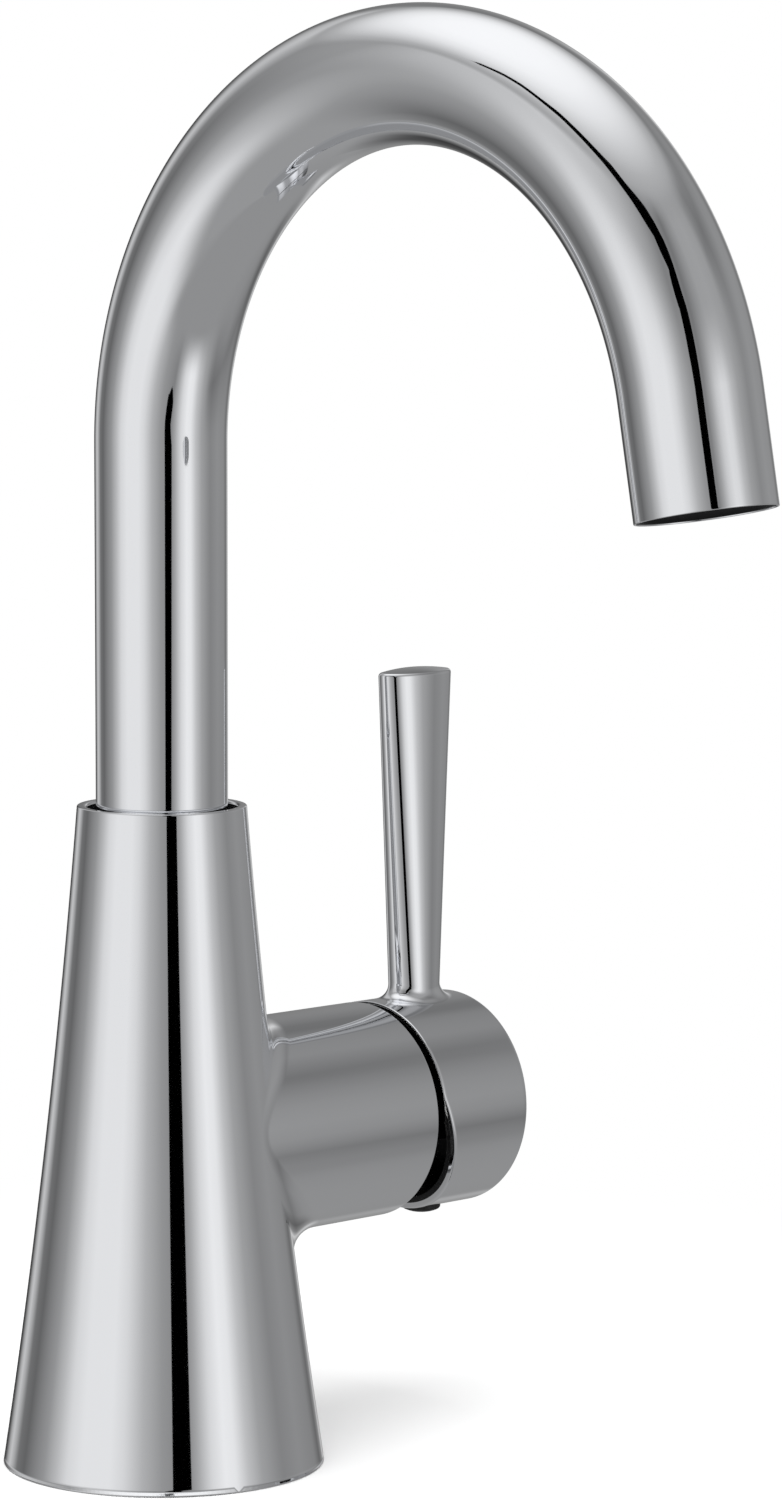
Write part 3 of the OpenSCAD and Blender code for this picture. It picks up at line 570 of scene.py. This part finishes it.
# %% Sizes of the handle
CAP_RIM, CAP_END, CAP_ROUND = 56.1, 79.3, 0.8
CAP_BORE_R, CAP_FLOOR = 19.1, 76.8
HUB_R, HUB_BORE_R, HUB_X = 8.6, 6.05, 63.4
CUT_X, CUT = 57.6, np.tan(np.radians(17.5))
LEVER_X, LEVER_FOOT, LEVER_TOP = 68.31, 23.7, 87.25
LEVER_LONG, LEVER_HALF, GROWTH = 5.77, 4.45, 0.055
ROOT, TOP_EDGE, CROWN, SLANT = 3.0, 0.75, 0.75, 0.008


def lever_at(nu, h):
    """Point and normal of the oval side at height h above the cap's axis, where the side faces
    the plan direction nu. The half width is b along Y, and a along X grows with the height.
    With S^2 = a^2 cos^2 nu + b^2 sin^2 nu the point is (a^2 cos nu, b^2 sin nu) / S."""
    nu, h = np.broadcast_arrays(nu, h)
    a, b = LEVER_LONG + GROWTH * (h - LEVER_FOOT), LEVER_HALF
    c, s = np.cos(nu), np.sin(nu)
    S = np.sqrt((a * c) ** 2 + (b * s) ** 2)
    return (np.stack([LEVER_X + a * a * c / S, b * b * s / S, AXIS_Z + h], -1),
            unit(np.stack([c, s, -GROWTH * a * c * c / S], -1)))


def rim_x(radius, beta):
    """Station of the rim at a radius and an angle from the top: the larger of the rim, which
    is bevelled 2 mm inwards, and the slanted cut, x = cut - tan(17.5) r cos(beta)."""
    bevel = 2.0 * np.clip((BOSS_R - EDGE - radius) / (BOSS_R - EDGE - CAP_BORE_R), 0, 1)
    return np.maximum(CAP_RIM + bevel, CUT_X - CUT * radius * np.cos(beta))


def cap_point(x, beta, radius=BOSS_R):
    """Point of a round surface about the boss's axis, beta measured from the top."""
    x, beta, radius = np.broadcast_arrays(x, beta, radius)
    N = np.stack([0 * beta, np.sin(beta), np.cos(beta)], -1)
    return np.stack([x, radius * N[..., 1], AXIS_Z + radius * N[..., 2]], -1), N


print("lever", round(2 * LEVER_HALF, 2), "mm thick,", round(2 * lever_at(0, LEVER_TOP)[0][0]
      - 2 * LEVER_X, 2), "mm wide at its top")

# %% The cap's side, ruled about the lever's root
TOP_HALF = np.radians(48)  # the rectangle about the lever reaches this far each way
LIFT = 0.25  # height of the rim's rounding
stations = np.linspace(0, 1, 41)
spread_b = np.linspace(-TOP_HALF, TOP_HALF, 49)
x_lo, x_hi = CAP_RIM + LIFT, CAP_END - CAP_ROUND
ring_b, ring_x = border(spread_b, x_lo + (x_hi - x_lo) * stations)
psi = np.arctan2(ring_b * BOSS_R, ring_x - LEVER_X)
h_root = np.full_like(psi, LEVER_FOOT)
for _ in range(12):
    touch, n_lever = lever_at(psi, h_root)
    ball_c = touch + ROOT * n_lever
    ball_h = np.sqrt((BOSS_R + ROOT) ** 2 - ball_c[:, 1] ** 2)
    h_root = ball_h - ROOT * n_lever[:, 2]
ball_c[:, 2] = AXIS_Z + ball_h
root_b = np.arctan2(ball_c[:, 1], ball_h)
n_cap = cap_point(ring_x, root_b)[1]
rule = np.linspace(0, 1, 26)[:, None]
cap_top, n_top = cap_point(ball_c[:, 0] + (ring_x - ball_c[:, 0]) * rule,
                           root_b + (ring_b - root_b) * rule)
n_root = between(n_cap[None], n_lever[None], np.linspace(0, 1, 15)[:, None, None])
root = ball_c - ROOT * n_root

under = np.linspace(TOP_HALF, 2 * np.pi - TOP_HALF, 141)
low_rim = rim_x(BOSS_R, under) + LIFT
cap_low, n_low = cap_point(low_rim + (x_hi - low_rim) * stations[:, None], under[None])
print("lever's root from", h_root.min().round(2), "to", h_root.max().round(2), "mm")

# %% The cap's rim, end and inside
beta = np.concatenate([spread_b[:-1], under[:-1]])
turn_b = np.pi / 2 - beta
face_r = np.array([BOSS_R, BOSS_R - 0.08, BOSS_R - 0.25, 20.9, 20.3, 19.6, 19.22, CAP_BORE_R])
face_lift = np.array([LIFT, 0.08, 0, 0, 0, 0, 0, 0.12])
rim_face, _ = cap_point(rim_x(face_r[:, None], beta[None]) + face_lift[:, None], beta[None],
                        face_r[:, None])
# The rim's inner part is near-black casting: painted shade that keeps the cap's gap dark.
plated_rim, inner_rim_painted_shade = (patch(rim_face[part], hint=np.array([-1.0, 0, 0]), closed=True)
                        for part in (slice(0, 5), slice(4, None)))
mouth_x = rim_x(CAP_BORE_R, beta) + face_lift[-1]
bore, n_bore = cap_point(mouth_x + (CAP_FLOOR - mouth_x) * stations[::4, None], beta[None],
                         CAP_BORE_R)
end_line = rounded([(BOSS_R, x_hi), (BOSS_R, CAP_END), (14, CAP_END), (6, CAP_END),
                    (0, CAP_END)], [0, CAP_ROUND, 0, 0, 0], 9)
inside = [(0, CAP_FLOOR), (10, CAP_FLOOR), (CAP_BORE_R, CAP_FLOOR)]
about_x = dict(centre=(0, 0, AXIS_Z), axis=(1, 0, 0), start=(0, 1, 0))
hub_top = CAP_FLOOR + 0.1  # the hub's end is sunk in the cap's floor
hub = closed_ring([(HUB_R, hub_top), (HUB_R, HUB_X), (HUB_BORE_R, HUB_X),
                   (HUB_BORE_R, hub_top)], 0.25, turns(64), **about_x)
cap_patches = [
    patch(cap_top, n_top, closed=True), patch(cap_low, n_low), patch(root, n_root, closed=True),
    plated_rim, turned(end_line, turn_b, **about_x)]
cap_inside = [inner_rim_painted_shade, patch(bore, -n_bore, closed=True), hub,
              turned(inside, turn_b, flip=True, **about_x)]
print("cap's rim from", mouth_x.min().round(2), "to", mouth_x.max().round(2), "mm along its axis")

# %% The lever's side and its crowned top
rows = np.linspace(0, 1, 40)[:, None]
h_top = LEVER_TOP - TOP_EDGE + SLANT * (lever_at(psi, LEVER_TOP)[0][:, 0] - LEVER_X)
lever_side, n_side = lever_at(psi, h_root + (h_top - h_root) * rows)
lever_side[0] = root[-1]
plan, up = np.stack([np.cos(psi), np.sin(psi), 0 * psi], -1), np.array([0, 0, 1.0])
edge_c = lever_side[-1] - TOP_EDGE * n_side[-1]
crest = np.array([LEVER_X, 0, AXIS_Z + LEVER_TOP + CROWN])
fall = 2 * CROWN / ((edge_c - crest) * plan).sum(-1)[:, None] * plan
n_edge = between(n_side[-1:], unit(fall + up)[None], np.linspace(0, 1, 9)[:, None, None])
top_edge = edge_c + TOP_EDGE * n_edge
top_edge[0] = lever_side[-1]
share = np.linspace(1, 0, 16)[:, None, None]
crown = crest + (top_edge[-1] - crest) * np.concatenate([share, share, share ** 2], -1)
cap_patches += [patch(lever_side, n_side, closed=True), patch(top_edge, n_edge, closed=True),
                patch(crown, unit(fall * share + up), closed=True)]
piece("cap_with_lever", cap_patches, CHROME, "lever", ["handle"], cap_inside)

# %% [markdown]
# ## Small turned pieces
# The bush that the spout turns in shows as a bright ring inside the collar, and a domed plug
# hides the set screw under the cap. Both are short profiles turned about an axis. The CAD
# shapes could stay, but their corners are rounded here, because a sharp edge catches no light.

# %% Swivel bush and plug
BUSH_R, BUSH_BORE_R, BUSH_FOOT, BUSH_TOP = 14.45, 12.75, 114.4, 124.9
PLUG_R, PLUG_X, PLUG_BASE, PLUG_TOP = 3.9, 70.5, -16.9, -23.0
bush = closed_ring([(BUSH_R, BUSH_FOOT), (BUSH_R, BUSH_TOP), (BUSH_BORE_R, BUSH_TOP),
                    (BUSH_BORE_R, BUSH_FOOT)], 0.35, turns(96))
piece("collar_bush", [bush], CHROME, "body", ["swivel_bush"])

plug_line = rounded([(0, PLUG_TOP), (2.2, -22.9), (PLUG_R, -22.2), (PLUG_R, PLUG_BASE),
                     (0, PLUG_BASE)], [0, 1.0, 0.5, 0.2, 0], 6)
piece("plug_cover", [turned(plug_line, turns(64), (PLUG_X, 0, AXIS_Z))],
      FINISHES["black_plastic"], "lever", ["plug_button"])

# %% [markdown]
# ## The threaded stud under the deck
# The stud clamps the faucet to the sink. Its thread is rolled: the radius follows a triangle
# wave that climbs one pitch a turn. A helix swept with a small triangle would work too, but one
# formula over angle and height gives the whole stud at once.

# %% Stud with its rolled thread
STUD_R, PITCH, THREAD, STUD_END = 4.0, 1.25, 0.62, 0.6
stud_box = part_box("mounting_stud")
stud_lo, stud_hi = stud_box[0].z / MM, stud_box[1].z / MM
stud_x = (stud_box[0].x + stud_box[1].x) / 2 / MM


def thread_radius(angle, z):
    """Crest radius less the depth times a softened triangle wave of (z/pitch - angle/turn).
    The thread runs out over one pitch at each end."""
    wave = np.abs(((z / PITCH - angle / (2 * np.pi)) % 1) * 2 - 1)
    run_out = np.clip(np.minimum(z - stud_lo, stud_hi - z) / PITCH, 0, 1)
    return STUD_R - THREAD * run_out * np.clip(wave * 1.3 - 0.15, 0, 1)


stud_a = turns(40)
a, z = np.meshgrid(stud_a, np.linspace(stud_lo + STUD_END, stud_hi - STUD_END, 720))
r = thread_radius(a, z)
stud_side = np.stack([stud_x + r * np.cos(a), r * np.sin(a), z], -1)
ends = [turned([(0, stud_lo), (STUD_R - STUD_END, stud_lo), (STUD_R, stud_lo + STUD_END)],
               stud_a, (stud_x, 0, 0)),
        turned([(STUD_R, stud_hi - STUD_END), (STUD_R - STUD_END, stud_hi), (0, stud_hi)],
               stud_a, (stud_x, 0, 0))]
stud_side[0], stud_side[-1] = ends[0][0][-len(stud_a):], ends[1][0][:len(stud_a)]
outwards = np.stack([np.cos(a), np.sin(a), 0 * a], -1)
piece("threaded_stud", [patch(stud_side, hint=outwards, closed=True), *ends],
      FINISHES["zinc_steel"], "body", ["mounting_stud"])

# %% [markdown]
# ## Finishes on the CAD nodes that stay
# The other nodes keep their CAD shape: it is right as it is. Each takes the finish of the
# material slot that the record names for it. Only the brass sleeve in the outlet is plated too,
# and coloured near black as painted shade inside the opening.

# %% Give every CAD node its finish
for part in record["subparts"]:
    node = frame["nodes"][part["node"]]
    node.data.materials.clear()
    inside_outlet = part["node"] == "outlet_sleeve"
    node.data.materials.append(PLATE_AND_PAINTED_SHADE if inside_outlet else FINISHES[part["material_slot"]])
print("dressed", len(record["subparts"]), "CAD nodes")

# %% [markdown]
# ## The camera
# It stands where the photographer's stood: to the front left, about a metre away, nearly as
# high as the bend, and looks slightly down. The lens is long, so upright edges stay almost
# parallel. It is also shifted, which moves the faucet in the picture. Turning the camera until
# the faucet is in the middle would change how its upright edges lean.

# %% Camera at the photograph's place
AHEAD, RIGHT = Vector((0.68352, 0.71932, -0.12407)), Vector((0.72492, -0.68884, 0))
cam = bpy.data.cameras.new("camera")
cam.sensor_fit, cam.sensor_width, cam.lens = "AUTO", 36, 130.19
cam.shift_x, cam.shift_y = 0.0607, 0.0667
cam.clip_start, cam.clip_end = 0.05, 60
view_from = new_object("camera", cam)
bpy.context.scene.camera = view_from
ahead, right = AHEAD.normalized(), RIGHT.normalized()
turn = Matrix((right, right.cross(ahead), -ahead)).transposed().to_4x4()
view_from.matrix_world = Matrix.Translation((-0.69392, -0.76876, 0.24917)) @ turn
print("camera", [round(v, 3) for v in view_from.location], "lens", round(cam.lens, 1), "mm")

# %% [markdown]
# ## The room that the chrome shows
# Chrome has no colour of its own: what it shows is the room. A studio sets up soft white panels
# and grey walls for that. Here they are one large shell that only reflections see, with its
# light given by tables: over the angle round the faucet for the walls, for what is above them
# and for the table below, and over the height for two dim seams at the right. Real panels as
# separate lamps would work too, but soft edges between them would take many more objects.

# %% Light of the room by angle
ROOM_LIGHT = 1.08  # emission strength of screen value 1
CAMERA_TURN = np.arctan2(RIGHT.y, RIGHT.x) - np.pi / 2  # the camera's side of the faucet, about Z


def linear(v):
    """Screen value 0-1 to light: ((v + 0.055) / 1.055) ** 2.4, or v / 12.92 near black."""
    v = np.asarray(v, float)
    return np.where(v <= 0.04045, v / 12.92, ((v + 0.055) / 1.055) ** 2.4)


# Screen values by degrees from the camera, counted to its right
WALLS = [(-180, .50), (-172, .30), (-163, .22), (-158, .40), (-150, .66), (-144, .76),
         (-137, .66), (-129, .44), (-118, .39), (-94, .58), (-82, .72), (-72, .84),
         (-60, .89), (-38, .89), (-28, .84), (-14, .69), (0, .58), (18, .50), (26, .65),
         (36, .84), (46, .92), (54, .90), (64, .75), (76, .62), (96, .53), (116, .57),
         (140, .55), (152, .44), (160, .58), (166, .82), (172, .60), (180, .50)]
ABOVE = [(-180, .46), (-174, .50), (-165, .74), (-150, .75), (-138, .65), (-126, .55),
         (-102, .60), (-90, .72), (-66, .78), (-54, .76), (-42, .72), (-30, .655), (-18, .59),
         (-6, .50), (6, .52), (18, .45), (30, .55), (42, .61), (60, .62), (78, .60), (90, .55),
         (102, .51), (126, .565), (150, .55), (168, .46), (180, .46)]
TABLE = [(-180, .57), (-160, .585), (-24, .585), (-6, .56), (165, .56), (180, .57)]
# Shares of the light that the seams leave, by degrees above the horizon
SEAMS = [(-90, 1), (-44, 1), (-32, .94), (-24, .85), (-16, .66), (-10, .80), (-4, .92), (6, 1),
         (20, 1), (27, .96), (33, .88), (39.5, .76), (46, .88), (52, .97), (60, 1), (90, 1)]
print("walls from", min(v for _, v in WALLS), "to", max(v for _, v in WALLS))

# %% The room's material
room_mat, graph = material("room_panels", blank=True)
aim = graph.add("VectorMath", {0: graph.add("TexCoord").outputs["Object"]}, operation="NORMALIZE")
to_camera = graph.add("VectorRotate", {"Vector": aim.outputs[0], "Angle": -CAMERA_TURN},
                      rotation_type="Z_AXIS")
parts = graph.add("SeparateXYZ", {0: to_camera.outputs[0]}).outputs
azimuth = graph.math("ARCTAN2", parts["Y"], parts["X"])
rise = graph.math("ARCSINE", parts["Z"])
round_share = graph.math("MULTIPLY_ADD", azimuth, 0.5 / np.pi, 0.5)
up_share = graph.math("MULTIPLY_ADD", rise, 1 / np.pi, 0.5)


def past(angle, low, high):
    """Smooth step of an angle between two values in degrees."""
    return graph.fade(angle, np.radians(low), np.radians(high))


def round_room(table):
    """Light over the azimuth from (degrees, screen value) pairs."""
    return graph.ramp(round_share, [((a + 180) / 360, linear(v)) for a, v in table])


# The table's far edge is blurred over 30 degrees, and over 16 to the camera's right
table_line = graph.blend(past(azimuth, -24, -8), past(rise, -22, -52), past(rise, -22, -38))
low_wall = graph.blend(table_line, round_room(WALLS), round_room(TABLE))
wall = graph.blend(past(rise, 8, 36), low_wall, round_room(ABOVE))
# The seams fade out 34 to 50 degrees from their middle
seam = graph.ramp(up_share, [((e + 90) / 180, share) for e, share in SEAMS])
off_right = graph.math("ABSOLUTE", graph.math("ADD", azimuth, -np.radians(126)))
lit = graph.blend(past(off_right, 50, 34), wall, seam, "MULTIPLY")
glow = graph.add("Emission", {"Color": lit, "Strength": ROOM_LIGHT})
graph.add("OutputMaterial", {"Surface": glow.outputs[0]})
print("room material has", len(graph.nodes), "nodes")

# %% The room's shell
ROOM_R = 5.0


def only_reflections(obj):
    """Seen by gloss and glass only, so it neither lights nor shades the rest."""
    obj.visible_camera = obj.visible_diffuse = obj.visible_shadow = False
    obj.visible_volume_scatter = False


def stage_mesh(name, P, mat, closed=False):
    """A grid of points in metres as a stage object."""
    flat, _, quads = patch(P, hint=-P, closed=closed)
    mesh = bpy.data.meshes.new(name)
    mesh.from_pydata(flat.tolist(), [], quads.tolist())
    mesh.materials.append(mat)
    return new_object(name, mesh)


def stage_disc(name, radii, z, segments, mat):
    """A flat disc of rings at the given radii in metres, at height z."""
    a, r = np.meshgrid(turns(segments), radii)
    return stage_mesh(name, np.stack([r * np.cos(a), r * np.sin(a), 0 * r + z], -1), mat, True)


def direction(az, el):
    """Unit vectors for azimuths to the camera's right and elevations, in degrees."""
    az, el = np.radians(az) + CAMERA_TURN, np.radians(el)
    return np.stack([np.cos(el) * np.cos(az), np.cos(el) * np.sin(az), np.sin(el)], -1)


az, el = np.meshgrid(np.linspace(-180, 180, 97)[:-1], np.linspace(-90, 90, 49))
only_reflections(stage_mesh("room", ROOM_R * direction(az, el), room_mat, closed=True))
print("room of", ROOM_R, "m radius")

# %% [markdown]
# ## The black flag
# A studio hangs strips of black velvet, called flags, to draw a dark line along bright metal.
# This one gives the line down the cone and the leg and over the bend. It is a ribbon along a
# path of directions. Its upper part hangs near the bend, under the overhead card. Painting the
# line on the room would be simpler, but then the card would hide it.

# %% The narrow black flag
NEAR = 0.48  # from here inwards the ribbon is centred on the bend's top
BEND_TOP = np.array([0, -0.115, 0.265])
# Azimuth, elevation and width in degrees, distance in metres
FLAG = np.array([
    (14.8, -19.5, 0, 4), (14.8, -16.5, 3.5, 4), (14.6, -13.5, 10.2, 4), (12.2, -6, 9.8, 4),
    (14.6, 3, 13, 4), (11, 11, 11.4, 4), (9.3, 17, 11, 4), (8.2, 23, 12.3, 4),
    (8, 28, 12.3, 4), (8, 32, 12.3, 4), (6.8, 36.5, 12.3, .48), (1.7, 40.7, 13, .46),
    (-1, 43.2, 10.5, .43), (-8.5, 44.8, 9.4, .41), (-17, 46.8, 6.7, .40), (-25, 48.5, 6.8, .39),
    (-34.5, 49.2, 4.8, .385), (-45.5, 49.6, 4.5, .385), (-56.3, 49.8, 4, .385),
    (-65, 48.4, 3.2, .39), (-73, 47.8, 2.9, .40), (-79, 46, 2.6, .42), (-86, 42, 2, .44),
    (-94, 37, 0, .46)])
black, graph = material("black_flag")
graph.feed(graph.nodes["Principled BSDF"], {"Base Color": (0, 0, 0, 1), "Specular IOR Level": 0})
given = np.arange(len(FLAG))
s = np.linspace(0, given[-1], 133)
way = np.stack([np.interp(s, given, FLAG[:, i]) for i in (0, 1)], -1)
lane, out = (np.exp(np.interp(s, given, np.log(FLAG[:, i] + 1e-6))) for i in (2, 3))
heading = unit(np.gradient(way, axis=0))
across_way = np.stack([-heading[:, 1], heading[:, 0]], -1) * lane[:, None] / 2
edges = way[:, None] + across_way[:, None] * np.array([-1, 0, 1])[None, :, None]
near = np.minimum(np.log(4 / out) / np.log(4 / NEAR), 1)[:, None, None]
ribbon = out[:, None, None] * direction(edges[..., 0], edges[..., 1]) + near * BEND_TOP
only_reflections(stage_mesh("flag", ribbon, black))
print("flag of", len(s), "steps, at most", FLAG[:, 2].max(), "degrees wide")

# %% [markdown]
# ## The overhead card
# A round white card close over the spout makes the soft highlight on top of the bend, which is
# white in the middle and falls off to grey. A lamp would be mirrored as a hard disc, so the
# card's light is a ramp over its radius, and its rim turns see-through.

# %% Round card overhead
# Screen values by the share of the card's radius
CARD_TONES = [(0, .98), (.2, .975), (.33, .955), (.47, .895), (.6, .80), (.73, .69), (.87, .61),
              (1, .57)]
CARD_R, CARD_Z, CARD_SHIFT = 0.45, 0.59, 0.035
card_mat, graph = material("overhead_card", blank=True)
off = graph.add("VectorMath", {0: graph.add("TexCoord").outputs["Object"]}, operation="LENGTH")
out_share = graph.math("DIVIDE", off.outputs["Value"], CARD_R)
tones = graph.ramp(out_share, [(at, linear(v)) for at, v in CARD_TONES])
glow = graph.add("Emission", {"Color": tones, "Strength": ROOM_LIGHT})
mix = graph.add("MixShader", {0: graph.fade(out_share, 0.8, 1.0), 1: glow.outputs[0],
                              2: graph.add("BsdfTransparent").outputs[0]})
graph.add("OutputMaterial", {"Surface": mix.outputs[0]})
card = stage_disc("overhead_card", np.linspace(0, CARD_R, 5), 0, 64, card_mat)
card.location = Vector(direction(-150, 0)) * CARD_SHIFT + Vector((0, 0, CARD_Z))
only_reflections(card)
print("card at", [round(v, 3) for v in card.location])

# %% [markdown]
# ## Floor, backdrop and lamp
# The photograph has a plain white ground. The floor is a pale disc that keeps the faucet's soft
# shadow near the foot and turns into plain white further out, for the camera only. Reflections
# don't see it, because the room has its own table. The world is white behind it. One wide lamp,
# above and a little to the front left, lights whatever isn't metal.

# %% Pale floor
floor_mat, graph = material("pale_floor")
skin = graph.feed(graph.nodes["Principled BSDF"], {
    "Base Color": (0.93, 0.93, 0.93, 1), "Roughness": 0.9, "Specular IOR Level": 0})
off = graph.add("VectorMath", {0: graph.add("TexCoord").outputs["Object"]}, operation="LENGTH")
seen = graph.math("MULTIPLY", graph.fade(off.outputs["Value"], 0.03, 0.3),
                  graph.add("LightPath").outputs["Is Camera Ray"])
mix = graph.add("MixShader", {0: seen, 1: skin.outputs[0], 2: graph.add("Emission").outputs[0]})
graph.feed(graph.nodes["Material Output"], {"Surface": mix.outputs[0]})
floor = stage_disc("floor", [0, 0.1, 0.5, 2, 8], -0.00005, 96, floor_mat)
floor.visible_glossy = False
print("floor", floor.dimensions.x, "m wide")

# %% White backdrop
world = bpy.data.worlds.new("studio")
world.use_nodes = True
bpy.context.scene.world = world
graph = Graph(world.node_tree)
rays = graph.add("LightPath").outputs
seen = graph.math("MAXIMUM", rays["Is Camera Ray"], graph.math(
    "MAXIMUM", rays["Is Glossy Ray"], rays["Is Transmission Ray"]))
sky = graph.blend(seen, (0.95, 0.95, 0.95, 1), (1, 1, 1, 1))
graph.feed(graph.nodes["Background"], {"Color": sky})
bpy.context.scene.view_settings.view_transform = "Standard"
print("world", world.name, "has", len(graph.nodes), "nodes")

# %% Soft lamp
lamp = bpy.data.lights.new("soft_box", "AREA")
lamp.shape, lamp.size, lamp.energy = "DISK", 1.6, 20
soft = new_object("soft_box", lamp)
soft.location = (-0.4, -0.4, 1.7)
soft.rotation_euler = (Vector((0, 0, 0.1)) - soft.location).to_track_quat("-Z", "Y").to_euler()
soft.visible_glossy = False
print("lamp of", round(lamp.energy), "W at", [round(v, 2) for v in soft.location])
